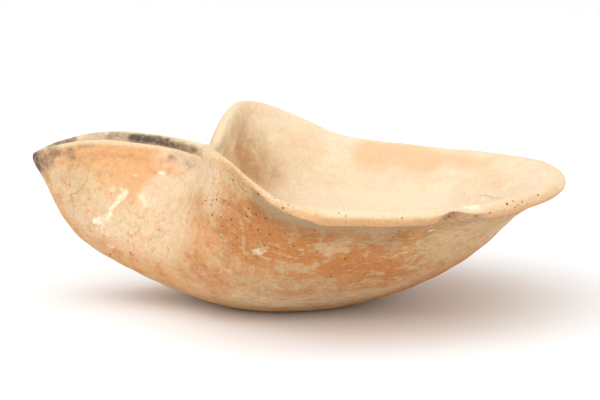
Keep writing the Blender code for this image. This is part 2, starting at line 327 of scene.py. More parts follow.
# Warm patches in the clay and in the slip
PEACH = (
    Mark(((66, 153), (100, 150), (140, 153), (160, 158)), 5.0, 0.85),
    Mark(((112, 166), (136, 180), (152, 172)), 6.5, 1.35),
    Mark(((122, 190), (142, 193)), 3.0, 0.8),
    Mark(((150, 215), (185, 228)), 5.0, 0.3),
    Mark(((110, 252), (140, 268), (175, 281)), 4.0, 0.7),
    Mark(((190, 220), (206, 246)), 6.0, 0.6),
    Mark(((246, 106), (266, 112)), 5.0, 0.5, "inner"),
    Mark(((372, 150), (400, 153), (428, 160)), 6.5, 1.0, "inner"),
    Mark(((440, 156), (480, 163)), 4.5, 0.7, "inner"),
    Mark(((282, 142), (315, 148)), 5.0, 0.4, "inner"),
    Mark(((486, 172), (500, 182)), 4.0, 0.5, "inner"),
    Mark(((-58, 12, 38), (-40, 18, 38)), 5.0, 0.8),
    Mark(((-20, 52, 36), (-8, 60, 36)), 5.0, 0.6),
    Mark(((4, -50, 34), (16, -44, 28), (36, -44, 32)), 9.0, 0.42, "inner"),
    Mark(((-12, -40, 34), (-4, -28, 16)), 8.0, 0.35, "inner"),
    Mark(((38, 10, 12), (50, -4, 22), (44, -22, 22)), 10.0, 0.38, "inner"),
)
# Where the small pits lie close together
PITTED = (
    Mark(((208, 208), (235, 208), (262, 216)), 8.0, 0.9),
    Mark(((222, 172), (230, 196)), 5.0, 0.45),
    Mark(((235, 235), (265, 235)), 8.0, 0.75),
    Mark(((258, 193), (288, 210), (320, 219)), 2.5, 0.8, "both"),
    Mark(((330, 215), (400, 217)), 3.0, 0.6, "both"),
    Mark(((502, 203), (525, 202)), 3.5, 1.0, "both"),
    Mark(((446, 222), (480, 218)), 3.5, 0.5, "both"),
    Mark(((130, 215), (170, 250)), 10.0, 0.4),
    Mark(((88, 240), (120, 258)), 6.0, 0.6),
    Mark(((244, 126), (262, 132)), 4.0, 0.7, "inner"),
    Mark(((0, -42, 30), (22, -36, 20)), 8.0, 0.7, "inner"),
    Mark(((34, 6, 12), (8, 12, 10)), 8.0, 0.6, "inner"),
    Mark(((-22, 40, 26), (4, 52, 24)), 8.0, 0.8),
    Mark(((40, 44, 24), (52, 32, 22)), 7.0, 0.6),
    Mark(((62, -4, 24), (56, -20, 22)), 6.0, 0.5),
    Mark(((-10, 0, -2), (12, 4, -2)), 8.0, 0.5),
)
# The tanned lower edge of the lip
TANNED = (
    Mark(((488, 214), (512, 206), (540, 199), (558, 192)), 1.7, 0.85, "both"),
    Mark(((268, 201), (300, 215), (340, 220), (400, 221), (436, 220)), 1.2, 0.55, "both"),
)
# The break in the lip that is sunk into the clay
CHIP = (
    Mark(((450, 219), (453, 214), (456, 212)), 1.3, 1.3),
    Mark(((458, 214), (477, 216)), 1.7, 0.6),
)
# Where rough bare clay shows: at the spout's rubbed edge, in the break and below it
BROKEN = (
    Mark(((46, 160), (56, 154), (72, 151)), 1.7, 0.75),
    Mark(((446, 219), (453, 212), (466, 213), (480, 217)), 2.6, 1.15),
    Mark(((440, 224), (460, 221), (480, 221)), 2.4, 0.9),
    Mark(((428, 235), (438, 228), (452, 224)), 2.4, 0.7),
)

# The largest pits: for each radius in millimetres, their places in the picture
PITS = {
    0.2: ((339, 213), (346, 216), (404, 226)),
    0.22: ((487, 229), (294, 246)),
    0.25: ((515, 207), (527, 204), (402, 218), (399, 231)),
    0.28: ((315, 231),),
    0.3: (
        (233, 180), (225, 201), (237, 238), (275, 198), (513, 201), (518, 205), (522, 202),
        (490, 213), (449, 216), (365, 226), (463, 229),
    ),
    0.35: (
        (258, 194), (229, 204), (211, 205), (221, 217), (270, 235), (283, 208), (331, 276),
        (390, 261), (476, 216),
    ),
    0.4: ((212, 215), (256, 214), (258, 230), (345, 259), (538, 195), (453, 213)),
    0.45: ((507, 204),),
}

# Hair cracks, as lines of places in the picture
CRACKS = (
    ((87, 176), (86, 182), (81, 189), (75, 194), (71, 195)),
    ((229, 180), (231, 185), (234, 190)),
    ((240, 211), (241, 215), (242, 219)),
    ((425, 237), (431, 235), (436, 231), (441, 227)),
    ((480, 195), (484, 194), (488, 195.6), (491, 196.8), (496, 197.3), (502, 198), (505, 196)),
)


def length(name, description, default, least=0.0):
    """A small length that the user can change."""
    return FloatProperty(
        name=name, description=description, default=default, min=least, unit="LENGTH", precision=5
    )


def angle(name, description, degrees):
    """An angle that the user can change."""
    return FloatProperty(
        name=name, description=description, default=math.radians(degrees), subtype="ANGLE"
    )


def colour(name, description, default):
    """A colour that the user can change."""
    return FloatVectorProperty(
        name=name, description=description, default=default, min=0, max=1, subtype="COLOR"
    )


class LampRelief(PropertyGroup):
    """Sizes of the relief that the hand, the wheel and time left in the clay."""

    mesh_step: length("Mesh step", "Side of the little faces that carry the relief", 0.79 * MM, 0.5 * MM)
    hand_swell: length("Hand swell", "Depth of the slow hollows that the hands left in the wall", 0.45 * MM)
    wheel_rings: length("Wheel rings", "Depth of the rings that the wheel left round the wall", 0.12 * MM)
    lip_lumps: length("Lip lumps", "Depth of the lumps along the finger-smoothed lip", 0.35 * MM)
    undercut: length("Undercut", "Depth of the groove under the lip's outer edge", 0.8 * MM)
    grit: length("Grit", "Depth of the fine unevenness all over the clay", 0.05 * MM)
    chip: length("Chip", "Depth of the rough break where the lip is chipped", 0.75 * MM)


class ClayColours(PropertyGroup):
    """Colours of the fired clay and of what lies on it."""

    cream: colour("Cream", "The pale slip inside the bowl", (0.81, 0.66, 0.49))
    milk: colour("Milk", "The palest clouds in the slip", (0.88, 0.76, 0.6))
    # Laid where the lip faces up: rubbed wear, and also a painted highlight
    worn_and_highlight: colour("Worn", "The rubbed clay on top of the lip", (0.83, 0.655, 0.455))
    buff: colour("Buff", "The plain fired clay", (0.76, 0.51, 0.3))
    orange: colour("Orange", "Where the fire reached the clay", (0.55, 0.235, 0.072))
    burnt: colour("Burnt", "The deepest streaks in the orange clay", (0.44, 0.17, 0.06))
    peach: colour("Peach", "Warm patches in the pale slip", (0.81, 0.46, 0.232))
    rust: colour("Rust", "Small reddish blotches in the weathered clay", (0.55, 0.22, 0.11))
    dust: colour("Dust", "Small greyish blotches where the ground's dirt stayed", (0.64, 0.53, 0.37))
    # Painted shade: the brown laid in the hollow inside the raised flap
    tan: colour("Tan", "The hollow inside the raised flap", (0.47, 0.25, 0.09))
    wash: colour("Wash", "The thin beige wash that wiping left", (0.62, 0.46, 0.27))
    # Grey is laid in smudges of dirt, and under the lip partly as a wiped wash and partly as painted shade
    grey: colour("Grey", "The grey shade that wiping left under the lip", (0.42, 0.31, 0.2))
    chalk: colour("Chalk", "The pale crust left by the ground", (0.95, 0.86, 0.66))
    broken: colour("Broken", "The rough clay where the lip is chipped", (0.42, 0.27, 0.16))
    smoke: colour("Smoke", "The brown edge of the soot", (0.24, 0.145, 0.1))
    soot: colour("Soot", "The wick's burn marks", (0.07, 0.06, 0.052))
    pit: colour("Pit", "The dark inside of pits and cracks", (0.18, 0.06, 0.022))


class Studio(PropertyGroup):
    """The camera's place and aim, which match the picture's."""

    turn: angle("Turn", "How far the camera stands round to the right of the lamp's side", 6.5)
    tilt: angle("Tilt", "How far the camera looks down", 9.4)
    distance: length("Distance", "From the camera to the middle of the lamp", 0.7)
    aim: FloatVectorProperty(
        name="Aim",
        description="The point that the camera looks at",
        default=(0.0042, 0.0, 0.0283),
        subtype="TRANSLATION",
    )


class Reading:
    """A value or a colour of the recipe that changes over the clay. Sums with values add their Math nodes."""

    def __init__(self, recipe, socket):
        self.recipe = recipe
        self.socket = socket

    def beside(self, name):
        """Another output of the same node."""
        return Reading(self.recipe, self.socket.node.outputs[name])

    def __add__(self, other):
        return self.recipe.sum_of("ADD", self, other)

    __radd__ = __add__

    def __sub__(self, other):
        return self.recipe.sum_of("SUBTRACT", self, other)

    def __rsub__(self, other):
        return self.recipe.sum_of("SUBTRACT", other, self)

    def __mul__(self, other):
        return self.recipe.sum_of("MULTIPLY", self, other)

    __rmul__ = __mul__


class Recipe:
    """The nodes of one material, written as sums of readings."""

    def __init__(self, name):
        self.material = bpy.data.materials.new(name)
        self.material.use_nodes = True
        self.tree = self.material.node_tree
        self.tree.nodes.clear()

    def add(self, kind, settings, inputs, output=None):
        """Adds a node, sets it, fills its sockets with values or links, and gives the output asked for."""
        node = self.tree.nodes.new(kind)
        for setting, value in settings.items():
            setattr(node, setting, value)
        for name, value in inputs.items():
            if isinstance(value, Reading):
                self.tree.links.new(value.socket, node.inputs[name])
            else:
                node.inputs[name].default_value = value
        return node if output is None else Reading(self, node.outputs[output])

    def attribute(self, name):
        """What the mesh keeps under this name at each point."""
        return self.add("ShaderNodeAttribute", {"attribute_name": name}, {}, "Fac")

    def vectors(self, operation, first, second, output="Vector"):
        return self.add("ShaderNodeVectorMath", {"operation": operation}, {0: first, 1: second}, output)

    def cloud(self, spot, size, detail=3.0, roughness=0.55, warp=0.0):
        """Smooth noise about 0, mostly between -1 and 1, with lumps of the given size in millimetres."""
        inputs = {
            "Vector": spot,
            "Scale": 1 / size,
            "Detail": detail,
            "Roughness": roughness,
            "Distortion": warp,
        }
        return (self.add("ShaderNodeTexNoise", {}, inputs, 0) - 0.5) * 3

    def sum_of(self, operation, first, second):
        return self.add("ShaderNodeMath", {"operation": operation}, {0: first, 1: second}, 0)

    def ease(self, low, high, amount):
        """0 on low's side, 1 on high's side, and a soft step between."""
        rising = low < high
        inputs = {
            "Value": amount,
            "From Min": min(low, high),
            "From Max": max(low, high),
            "To Min": 0.0 if rising else 1.0,
            "To Max": 1.0 if rising else 0.0,
        }
        return self.add("ShaderNodeMapRange", {"interpolation_type": "SMOOTHSTEP"}, inputs, 0)

    def blend(self, share, under, over, mode="MIX"):
        """One colour over another, or laid on it in another mode. A colour is a reading or three numbers."""
        under, over = (side if isinstance(side, Reading) else (*side, 1.0) for side in (under, over))
        settings = {"data_type": "RGBA", "blend_type": mode}
        # A Mix node has sockets for every kind of data. Its colours go in at 6 and 7 and come out at 2
        return self.add("ShaderNodeMix", settings, {0: share, 6: under, 7: over}, 2)

    def finish(self, sockets):
        """Ends the recipe in one shader with these sockets."""
        shader = self.add("ShaderNodeBsdfPrincipled", {}, sockets, "BSDF")
        self.add("ShaderNodeOutputMaterial", {}, {"Surface": shader})
        return self.material


def ease(low, high, amounts):
    """0 on low's side, 1 on high's side, and a soft step between, for an array."""
    share = np.clip((amounts - low) / (high - low), 0, 1)
    return share * share * (3 - 2 * share)


def cloud(points, size, seed):
    """Smooth noise between about -1 and 1 with lumps of the given size."""
    offset = Vector([seed * step for step in SEED_STEP])
    return np.array([noise.noise(Vector(point) / size + offset) for point in points])


def deselect_all():
    if bpy.context.object and bpy.context.object.mode != "OBJECT":
        bpy.ops.object.mode_set(mode="OBJECT")
    bpy.ops.object.select_all(action="DESELECT")


def apply_modifier(piece, kind, **settings):
    modifier = piece.modifiers.new(kind.title(), kind)
    for name, value in settings.items():
        setattr(modifier, name, value)
    bpy.ops.object.modifier_apply(modifier=modifier.name)


def camera_axes(studio):
    """Where the camera stands, and its forward, right and up directions."""
    turn, tilt = studio.turn, studio.tilt
    forward = Vector((-math.sin(turn) * math.cos(tilt), math.cos(turn) * math.cos(tilt), -math.sin(tilt)))
    right = Vector((math.cos(turn), math.sin(turn), 0))
    stand = Vector(studio.aim) - studio.distance * forward
    return stand, forward, right, right.cross(forward)


class Clay:
    """The bowl's points and faces, with what the relief and the marks need to know about each point.

    seen is its place in the picture, place runs from 0 in the middle of the foot or floor to 1 on the lip,
    inside is 1 on the inner wall, slim is 1 where the lip is slimmest, to_lip is its distance from the
    middle of the lip, to_rim is that distance as the coloured band has it, and stray is how the edges of
    the marks stray.
    """

    def __init__(self, piece, thrown, studio):
        self.mesh = piece.data
        self.points = self.read("co")
        self.normals = self.read("normal")
        self.surface = self.read_surface()
        self.camera = camera_axes(studio)
        self.pixels = PICTURE[0] * LENS / SENSOR
        self.seen = self.in_picture()
        rows = np.array([thrown.row_at(point) for point in self.points])
        self.place = 1 - np.abs(rows - 1)
        self.inside = ease(0.97, 1.03, rows)
        self.slim = ease(*FULL_LIP_X, self.points[:, 0]) * ease(*SLIM_LIP_X, self.points[:, 0])
        self.to_lip = np.array([thrown.from_lip(point) for point in self.points])
        self.to_rim = self.to_lip + SLIM_BAND * self.slim
        self.stray = 0.3 * cloud(self.points, 9 * MM, seed=3) + 0.3 * cloud(self.points, 3 * MM, seed=4)

    def read(self, what):
        numbers = np.empty(len(self.mesh.vertices) * 3)
        self.mesh.vertices.foreach_get(what, numbers)
        return numbers.reshape(-1, 3)

    def read_surface(self):
        """The faces as they stand now, for rays."""
        faces = [face.vertices[:] for face in self.mesh.polygons]
        return BVHTree.FromPolygons(self.points.tolist(), faces)

    def in_picture(self):
        """Where each point stands in the picture, in pixels from its upper left corner."""
        stand, forward, right, up = (np.array(vector) for vector in self.camera)
        sight = self.points - stand
        scale = self.pixels / (sight @ forward)
        across = PICTURE[0] / 2 + (sight @ right) * scale
        down = PICTURE[1] / 2 - (sight @ up) * scale
        return np.stack([across, down], axis=1)

    def at_spot(self, spot):
        """The point of the clay that the camera sees at a place in the picture, or the one nearest to a place
        given by three numbers."""
        if len(spot) == 3:
            return np.array(self.surface.find_nearest(Vector(spot) * MM)[0])
        stand, forward, right, up = self.camera
        across = (spot[0] - PICTURE[0] / 2) / self.pixels
        rise = (PICTURE[1] / 2 - spot[1]) / self.pixels
        point = self.surface.ray_cast(stand, (forward + across * right + rise * up).normalized())[0]
        if point is None:
            raise RuntimeError(f"The camera sees no clay at {spot}.")
        return np.array(point)

    def from_line(self, spots):
        """Each point's distance from a line drawn on the clay from spot to spot."""
        corners = [self.at_spot(spot) for spot in spots]
        nearest = np.linalg.norm(self.points - corners[0], axis=1)
        for start, end in zip(corners, corners[1:]):
            along = end - start
            share = np.clip((self.points - start) @ along / max(along @ along, 1e-12), 0, 1)
            gap = np.linalg.norm(self.points - start - share[:, None] * along, axis=1)
            nearest = np.minimum(nearest, gap)
        return nearest

    def marked(self, marks, soft=0.7):
        """How strongly each point carries a kind of mark. The edge strays, and fades to either side of the
        mark's reach over this share of it."""
        walls = {"inner": self.inside, "outer": 1 - self.inside, "both": 1.0}
        strength = np.zeros(len(self.points))
        for mark in marks:
            gap = self.from_line(mark.spots) / (mark.reach * MM) + self.stray
            strength = np.maximum(strength, mark.strength * walls[mark.wall] * ease(1 + soft, 1 - soft, gap))
        return strength

    def beside_cracks(self):
        """Each point's distance from the nearest crack, in millimetres, less than 0 on one side of it."""
        nearest = np.full(len(self.points), PAST_CRACKS)
        for spots in CRACKS:
            gap = self.from_line(spots) / MM
            nearest = np.where(gap < np.abs(nearest), gap * self.side_of_line(spots), nearest)
        return nearest

    def side_of_line(self, spots):
        """1 or -1 for the side of a line in the picture on which each point stands."""
        nearest = np.full(len(self.points), np.inf)
        side = np.ones(len(self.points))
        for start, end in zip(np.array(spots, float), np.array(spots[1:], float)):
            along = end - start
            share = np.clip((self.seen - start) @ along / (along @ along), 0, 1)
            off = self.seen - start - share[:, None] * along
            gap = np.hypot(off[:, 0], off[:, 1])
            turn = np.where(along[0] * off[:, 1] > along[1] * off[:, 0], 1.0, -1.0)
            side = np.where(gap < nearest, turn, side)
            nearest = np.minimum(nearest, gap)
        return side

    def sink(self, depths):
        """Moves each point into the clay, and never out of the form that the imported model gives."""
        self.points = self.points - self.normals * np.maximum(depths, 0)[:, None]
        self.surface = self.read_surface()

    def keep(self, name, amounts):
        """Keeps a number for each point on the mesh, where the material reads it."""
        attribute = self.mesh.attributes.new(name, "FLOAT", "POINT")
        attribute.data.foreach_set("value", amounts.astype(np.float32))


def rows_from_foot(mesh):
    """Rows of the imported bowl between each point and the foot's middle: under the foot, up the outer wall,
    over the lip and down the inner wall to the floor."""
    neighbours = [[] for vertex in mesh.vertices]
    for edge in mesh.edges:
        first, second = edge.vertices
        neighbours[first].append(second)
        neighbours[second].append(first)
    foot = min(range(len(neighbours)), key=lambda number: mesh.vertices[number].co.length)
    rows = np.full(len(neighbours), -1.0)
    rows[foot] = 0
    ring = [foot]
    while ring:
        past = rows[ring[0]] + 1
        ring = sorted({far for near in ring for far in neighbours[near] if rows[far] < 0})
        rows[ring] = past
    return rows


def even_copy(node, step):
    """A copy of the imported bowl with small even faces, and the smooth surface that tells a point its row."""
    deselect_all()
    node.select_set(True)
    bpy.context.view_layer.objects.active = node
    bpy.ops.object.duplicate()
    piece = bpy.context.object
    piece.name = "lamp_clay"
    piece.data.name = "lamp_clay"
    bpy.ops.mesh.customdata_custom_splitnormals_clear()
    bpy.ops.object.mode_set(mode="EDIT")
    bpy.ops.mesh.select_all(action="SELECT")
    bpy.ops.mesh.remove_doubles(threshold=0.001 * MM)
    bpy.ops.object.mode_set(mode="OBJECT")
    rows = piece.data.attributes.new("row", "FLOAT", "POINT")
    rows.data.foreach_set("value", rows_from_foot(piece.data).astype(np.float32))
    bpy.ops.object.mode_set(mode="EDIT")
    bpy.ops.mesh.tris_convert_to_quads(face_threshold=math.radians(60), shape_threshold=math.radians(90))
    bpy.ops.object.mode_set(mode="OBJECT")
    apply_modifier(piece, "SUBSURF", levels=2, render_levels=2)
    thrown = ThrownRows(piece.data)
    apply_modifier(piece, "REMESH", mode="VOXEL", voxel_size=step, use_smooth_shade=True)
    apply_modifier(piece, "SMOOTH", factor=0.5, iterations=2)
    soften_folds(piece, thrown)
    return piece, thrown


def soften_folds(piece, thrown):
    """Rounds the creases where the two flaps turn into the wick channel, and leaves the lip as it is."""
    group = piece.vertex_groups.new(name="folds")
    for vertex in piece.data.vertices:
        near = ease(*FOLD_REACH, abs(vertex.co.x - FOLD_X)) * ease(*FOLD_RISE, vertex.co.z)
        if near > 0:
            share = near * ease(*FOLD_BELOW_LIP, thrown.from_lip(vertex.co))
            group.add([vertex.index], float(share), "REPLACE")
    apply_modifier(piece, "SMOOTH", factor=0.5, iterations=FOLD_ROUNDS, vertex_group="folds")


class ThrownRows:
    """The smooth bowl's surface, which tells a point its row and its distance from the middle of the lip."""

    def __init__(self, mesh):
        self.points = [vertex.co.copy() for vertex in mesh.vertices]
        self.faces = [tuple(face.vertices) for face in mesh.polygons]
        self.rows = np.empty(len(self.points), np.float32)
        mesh.attributes["row"].data.foreach_get("value", self.rows)
        self.tree = BVHTree.FromPolygons(self.points, self.faces)
        # Two subdivisions set the points a quarter of a row apart, so only the lip's middle is this near
        crest = np.flatnonzero(np.abs(self.rows - self.rows.max() / 2) < 0.1)
        self.lip = KDTree(len(crest))
        for number in crest:
            self.lip.insert(self.points[number], int(number))
        self.lip.balance()

    def row_at(self, point):
        """0 under the middle of the foot, 1 in the middle of the lip and 2 in the middle of the floor."""
        spot, _, number, _ = self.tree.find_nearest(point)
        corners = self.faces[number]
        weights = poly_3d_calc([self.points[corner] for corner in corners], spot)
        return 2 * sum(w * self.rows[c] for w, c in zip(weights, corners)) / self.rows.max()

    def from_lip(self, point):
        """A point's distance from the middle of the lip."""
        return self.lip.find(point)[2]


def carve(clay, relief):
    """Sinks the hand's swell, the wheel's rings, the lip's lumps and groove, grit and chip into the clay."""
    points = clay.points
    off_foot = ease(*FOOT_RISE, points[:, 2])
    at_lip = ease(*LIP_LUMPS, clay.to_lip)
    swell = 0.5 + 0.5 * (0.7 * cloud(points, 26 * MM, seed=1) + 0.3 * cloud(points, 11 * MM, seed=2))
    rings = 0.5 + 0.5 * np.sin(clay.place * RING_WAVE + 3.0 * cloud(points, 30 * MM, seed=5))
    depths = relief.hand_swell * swell * off_foot * (1 - 0.6 * at_lip)
    depths += relief.wheel_rings * rings * off_foot * (1 - at_lip)
    depths += relief.lip_lumps * (0.5 + 0.5 * cloud(points, 9 * MM, seed=6)) * at_lip
    depths += relief.undercut * groove(clay) * (0.75 + 0.5 * cloud(points, 20 * MM, seed=8))
    depths += relief.grit * (0.5 + 0.5 * cloud(points, 2.2 * MM, seed=7))
    depths += relief.chip * clay.marked(CHIP, 0.4) * (0.7 + 1.0 * cloud(points, 2.4 * MM, seed=9))
    clay.sink(depths * (1 - 0.8 * ease(*TIP_X, points[:, 0])))


def groove(clay):
    """1 in the groove under the lip's outer edge, which the break interrupts."""
    to_groove = clay.to_lip + SLIM_GROOVE * clay.slim
    width = ease(*GROOVE_TOP, to_groove) * ease(*GROOVE_BOTTOM, to_groove)
    return width * (1 - clay.marked(BROKEN)) * (1 - clay.inside)


def keep_marks(clay):
    """Keeps on the mesh what the clay's recipe reads."""
    readings = {
        "place": clay.place,
        "inside": clay.inside,
        "to_rim": clay.to_rim / MM,
        "upward": clay.normals[:, 2],
        "wiped": ease(*WIPED_X, clay.points[:, 0]),
        "shaded": ease(*PAINTED_SHADE_X, clay.points[:, 0]),
        "soot": clay.marked(SOOT, 0.8),
        # The kiln's orange less the pale marks, some of which are painted light
        "fire": clay.marked(FIRE) - clay.marked(PALE_AND_PAINTED_LIGHT),
        "wash": clay.marked(WASH_AND_PAINTED_LIGHT),
        # Painted shadow under the lip
        "painted_lip_shadow": clay.marked(PAINTED_LIP_SHADOW, 0.9),
        "chalk": clay.marked(CHALK, 0.5),
        # Painted shade in the hollow of the far flap
        "hollow": clay.marked(PAINTED_HOLLOW_SHADE, 1.0),
        "smudge": clay.marked(SMUDGES, 0.9),
        "weathered": clay.marked(WEATHERED, 0.9),
        "peach": clay.marked(PEACH, 0.8),
        "pitted": clay.marked(PITTED),
        "broken": clay.marked(BROKEN),
        "tanned": clay.marked(TANNED, 0.9),
        "crack": clay.beside_cracks(),
    }
    for name, amounts in readings.items():
        clay.keep(name, amounts)


def ground_readings(recipe):
    """What the layers share: places, clouds of several sizes, and streaks that run round the wall."""
    spot = recipe.add("ShaderNodeTexCoord", {}, {}, "Object")
    spot = recipe.vectors("MULTIPLY", spot, (1 / MM, 1 / MM, 1 / MM))
    along = recipe.add("ShaderNodeSeparateXYZ", {}, {0: spot}, "X")
    rows = recipe.attribute("place") * STREAK_ROWS
    places = {0: along * STREAK_STRETCH, 1: along.beside("Y") * STREAK_STRETCH, 2: rows}
    round_wall = recipe.add("ShaderNodeCombineXYZ", {}, places, 0)
    closer = recipe.vectors("MULTIPLY", round_wall, FINE_CLOSER)

    def moved(*move):
        """The same places moved, so that no cloud repeats another."""
        return recipe.vectors("ADD", spot, move)

    return SimpleNamespace(
        spot=spot,
        to_rim=recipe.attribute("to_rim"),
        inside=recipe.attribute("inside"),
        wiped=recipe.attribute("wiped"),
        broad=recipe.cloud(spot, 24, detail=2.0),
        blush=recipe.cloud(moved(5, 42, 23), 9.0, detail=5.0, roughness=0.6),
        mottle=recipe.cloud(moved(31, 7, 12), 4.5, detail=7.0, roughness=0.72),
        bloom=recipe.cloud(moved(71, 25, 66), 3.2, detail=5.0, roughness=0.7),
        blotch=recipe.cloud(moved(13, 55, 8), 2.6, detail=5.0, roughness=0.65),
        fleck=recipe.cloud(moved(61, 3, 44), 1.4, detail=4.0, roughness=0.6),
        grain=recipe.cloud(spot, 0.8, detail=3.0, roughness=0.7),
        streaks=recipe.cloud(round_wall, 1.8, detail=7.0, roughness=0.72, warp=0.4),
        fine_streaks=recipe.cloud(closer, 1.2, detail=4.0),
    )


def kiln_colours(recipe, ground, colours):
    """Buff clay that the fire turned orange in patches, with peach blushes, burnt streaks and pale slip."""
    fire = recipe.attribute("fire")
    heat = fire * 0.6 + ground.broad * 0.2 + ground.mottle * 0.4 + ground.streaks * 0.25 + ground.blotch * 0.2
    wall = recipe.blend(recipe.ease(-0.4, 0.7, heat), colours.buff, colours.orange)
    blush = recipe.attribute("peach") + ground.mottle * 0.4 + ground.blotch * 0.3
    wall = recipe.blend(recipe.ease(0.15, 1.0, blush) * 0.8, wall, colours.peach)
    burnt = recipe.ease(-0.1, 0.6, ground.fine_streaks * 0.8 + ground.streaks * 0.5 + ground.fleck * 0.3)
    wall = recipe.blend(burnt * ground.wiped * recipe.ease(-0.1, 0.6, heat) * 0.85, wall, colours.burnt)
    slip = recipe.ease(0.1, 0.9, ground.mottle * 0.6 + ground.blotch * 0.4 - fire * 0.7)
    return recipe.blend(slip * 0.8, wall, colours.cream)


def thin_wash(recipe, ground, colours, wall):
    """The beige wash, in streaks where the turning wheel was wiped."""
    veil = (ground.streaks * 0.7 + ground.fine_streaks * 0.4 + 0.1) * ground.wiped + ground.blotch * 0.5 - 0.3
    # The wash marks include painted light near the bottom
    veil = veil + ground.mottle * 0.4 + recipe.attribute("wash") * 0.75
    return recipe.blend(recipe.ease(0.0, 0.4, veil) * 0.85, wall, colours.wash)


def weathering(recipe, ground, colours, wall):
    """Small blotches of rust and dust, and dark specks."""
    weathered = 0.45 + recipe.attribute("weathered") * 0.55
    fine = ground.fine_streaks * ground.wiped * 0.5 + ground.fleck * 0.4
    rust = recipe.ease(0.0, 0.55, ground.bloom * 0.8 + fine)
    wall = recipe.blend(rust * weathered * 0.8, wall, colours.rust)
    dust = recipe.ease(0.0, 0.55, fine - ground.bloom * 0.8)
    wall = recipe.blend(dust * weathered * 0.8, wall, colours.dust)
    specks = recipe.ease(0.35, 0.7, ground.fleck * 0.8 + ground.blotch * 0.3)
    return recipe.blend(specks * weathered * 0.6, wall, colours.broken)


def shade_under_lip(recipe, ground, colours, wall):
    """Painted shadow under the lip: a darker band, and a grey that is partly a wiped wash and partly painted
    shade.
    """
    below_lip = recipe.ease(*SHADE_EDGE, ground.to_rim)
    # Painted shadow: the band under the lip is darkened
    painted_lip_shadow = recipe.ease(0.0, 1.0, recipe.attribute("painted_lip_shadow") + ground.streaks * 0.2)
    wall = recipe.blend(painted_lip_shadow * below_lip, wall, PAINTED_SHADOW_TINT, "MULTIPLY")
    # Grey under the lip: partly a wiped grey wash, partly painted shade
    shade = below_lip * recipe.ease(*SHADE_FADE, ground.to_rim)
    shade = shade * recipe.attribute("shaded") * (0.85 + ground.streaks * 0.9 + ground.bloom * 0.5)
    shade = recipe.ease(0.0, 1.0, shade) * recipe.ease(0.6, 0.1, recipe.attribute("broken"))
    return recipe.blend(shade * 0.9, wall, colours.grey)


def outer_wall(recipe, ground, colours):
    """The outside, from the kiln's colours to what wiping and weather left on them, and the painted shade
    under the lip.
    """
    wall = kiln_colours(recipe, ground, colours)
    for layer in (thin_wash, weathering, shade_under_lip):
        wall = layer(recipe, ground, colours, wall)
    return wall


def inner_wall(recipe, ground, colours):
    """Pale slip with faint peach patches, with painted shade browner in the hollow of the fold."""
    clouds = ground.bloom * 0.6 + ground.mottle * 0.5 + ground.streaks * 0.3 + ground.broad * 0.4
    # The pale marks subtracted here include painted light on the inner floor by the near lip
    milky = recipe.ease(-0.5, 0.7, clouds - recipe.attribute("fire") * 0.9)
    wall = recipe.blend(milky, colours.cream, colours.milk)
    warm = recipe.attribute("peach") + ground.broad * 0.25 + ground.mottle * 0.35 + ground.fleck * 0.1
    wall = recipe.blend(recipe.ease(0.1, 0.95, warm) * 0.6, wall, colours.peach)
    # Painted shade in the hollow of the fold
    hollow = recipe.attribute("hollow") * (0.9 + ground.mottle * 0.5 + ground.fleck * 0.25)
    return recipe.blend(recipe.ease(0.0, 1.15, hollow) * 0.8, wall, colours.tan)


def worn_lip(recipe, ground, colours, skin):
    """The lip's peach band and rubbed top, lighter where it faces up as a painted highlight, its bare broken
    and tanned places, and smudges of dirt.
    """
    to_rim = ground.to_rim + ground.mottle * 0.2
    broken = recipe.ease(0.35, 0.65, recipe.attribute("broken") + ground.mottle * 0.2 + ground.fleck * 0.15)
    whole = 1 - broken
    uneven = 0.6 + ground.bloom * 0.6 + ground.broad * 0.3
    band = recipe.ease(*BAND_EDGE, to_rim) * (1 - ground.inside) * whole * uneven
    skin = recipe.blend(recipe.ease(0.0, 1.0, band) * ground.wiped, skin, colours.peach)
    # Painted highlight: lighter where the lip faces up, over the real rubbed wear
    rubbed = recipe.ease(-0.35, 0.6, recipe.attribute("upward") + ground.bloom * 0.5 + ground.fleck * 0.3)
    rubbed = rubbed * recipe.ease(0.7, -0.7, to_rim - ground.wiped * 2.4 - 1.5)
    skin = recipe.blend(rubbed * whole * 0.88, skin, colours.worn_and_highlight)
    rough = recipe.ease(-1.0, 0.3, ground.fleck * 0.7 + ground.blotch * 0.5)
    skin = recipe.blend(broken * rough * 0.65, skin, colours.broken)
    tanned = recipe.ease(0.1, 0.9, recipe.attribute("tanned") + ground.blotch * 0.35 + ground.fleck * 0.2)
    skin = recipe.blend(tanned * 0.7, skin, colours.buff)
    smudge = recipe.ease(0.2, 1.0, recipe.attribute("smudge") + ground.mottle * 0.3 + ground.fleck * 0.15)
    return recipe.blend(smudge * 0.4, skin, colours.grey)


def chalky_crust(recipe, ground):
    """Where the crust lies, in crumbs."""
    crust = recipe.attribute("chalk") * 1.1 + ground.mottle * 0.3 + ground.blotch * 0.4 + ground.fleck * 0.45
    return recipe.ease(0.45, 1.15, crust)


def wick_soot(recipe, ground):
    """Where the smoke lies brown, and where its soot is black."""
    uneven = 0.95 + ground.mottle * 0.6 + ground.blotch * 0.4 + ground.fleck * 0.5
    soot = recipe.attribute("soot") * uneven + ground.grain * 0.03
    return recipe.ease(0.06, 0.6, soot), recipe.ease(0.35, 1.1, soot)


